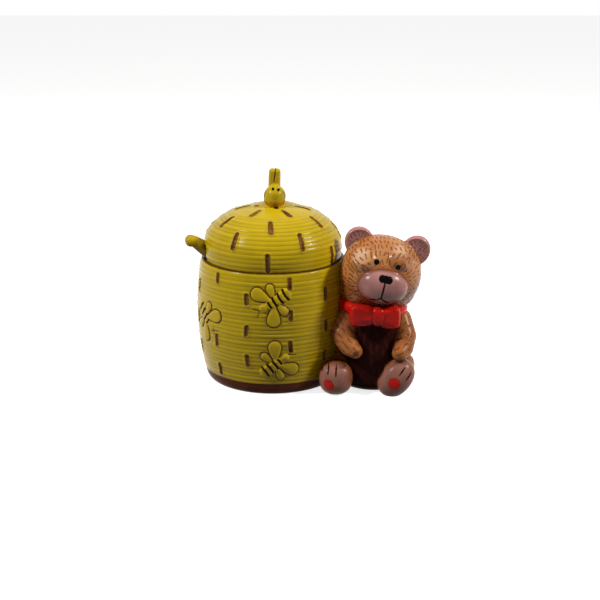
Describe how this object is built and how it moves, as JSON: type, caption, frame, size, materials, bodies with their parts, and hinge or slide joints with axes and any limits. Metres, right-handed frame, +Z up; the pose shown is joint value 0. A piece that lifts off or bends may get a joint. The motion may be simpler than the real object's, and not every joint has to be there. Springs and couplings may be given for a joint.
{
  "type": "honey pot",
  "caption": "Glazed ceramic honey pot: bee-hive jar with a seated teddy bear on its side, a lift-off lid with a bee knob, and a spoon through the lid's notch.",
  "frame": {"origin": "on the jar's axis, on the flat base it stands on", "axes": "+Z up; the bear faces -Y and sits on the jar's +X side; the spoon's handle leaves towards -X"},
  "size_m": [0.1442, 0.0927, 0.1264],
  "materials": {
    "hive_glaze": "glossy yellow glaze over soft coils, brown in the dashes and on the foot",
    "bee_glaze": "glossy yellow glaze with brown painted outlines and stripes",
    "bear_glaze": "glossy golden-tan glaze with short brown brush strokes",
    "muzzle_glaze": "glossy dusty pink glaze",
    "bow_glaze": "glossy bright red glaze",
    "nose_glaze": "glossy black glaze",
    "knob_glaze": "glossy yellow glaze, amber below, brown stripes"
  },
  "bodies": {
    "pot": {"hive_jar": "hive_glaze", "bee_front_upper": "bee_glaze", "bee_front_lower": "bee_glaze", "bee_left": "bee_glaze", "bee_back_upper": "bee_glaze", "bee_back_lower": "bee_glaze", "bear_torso": "bear_glaze", "bear_head": "bear_glaze", "bear_right_ear": "bear_glaze", "bear_left_ear": "bear_glaze", "bear_right_arm": "bear_glaze", "bear_left_arm": "bear_glaze", "bear_right_leg": "bear_glaze", "bear_left_leg": "bear_glaze", "bear_right_foot": "bear_glaze", "bear_left_foot": "bear_glaze", "bear_muzzle": "muzzle_glaze", "bear_nose": "nose_glaze", "bow_collar": "bow_glaze", "bow_knot": "bow_glaze", "bow_right_loop": "bow_glaze", "bow_left_loop": "bow_glaze"},
    "lid": {"lid_skirt": "hive_glaze", "lid_dome": "hive_glaze", "knob_bee_head": "knob_glaze", "knob_bee_body": "knob_glaze", "knob_bee_wings": "knob_glaze"},
    "spoon": {"spoon": "hive_glaze"}
  },
  "joints": [
    {"name": "lid_lift", "type": "slide", "parent": "pot", "child": "lid", "axis": [0, 0, 1], "range_m": [0, 0.06]},
    {"name": "spoon_draw", "type": "slide", "parent": "pot", "child": "spoon", "axis": [-0.7107, -0.1381, 0.6898], "range_m": [0, 0.05]}
  ]
}
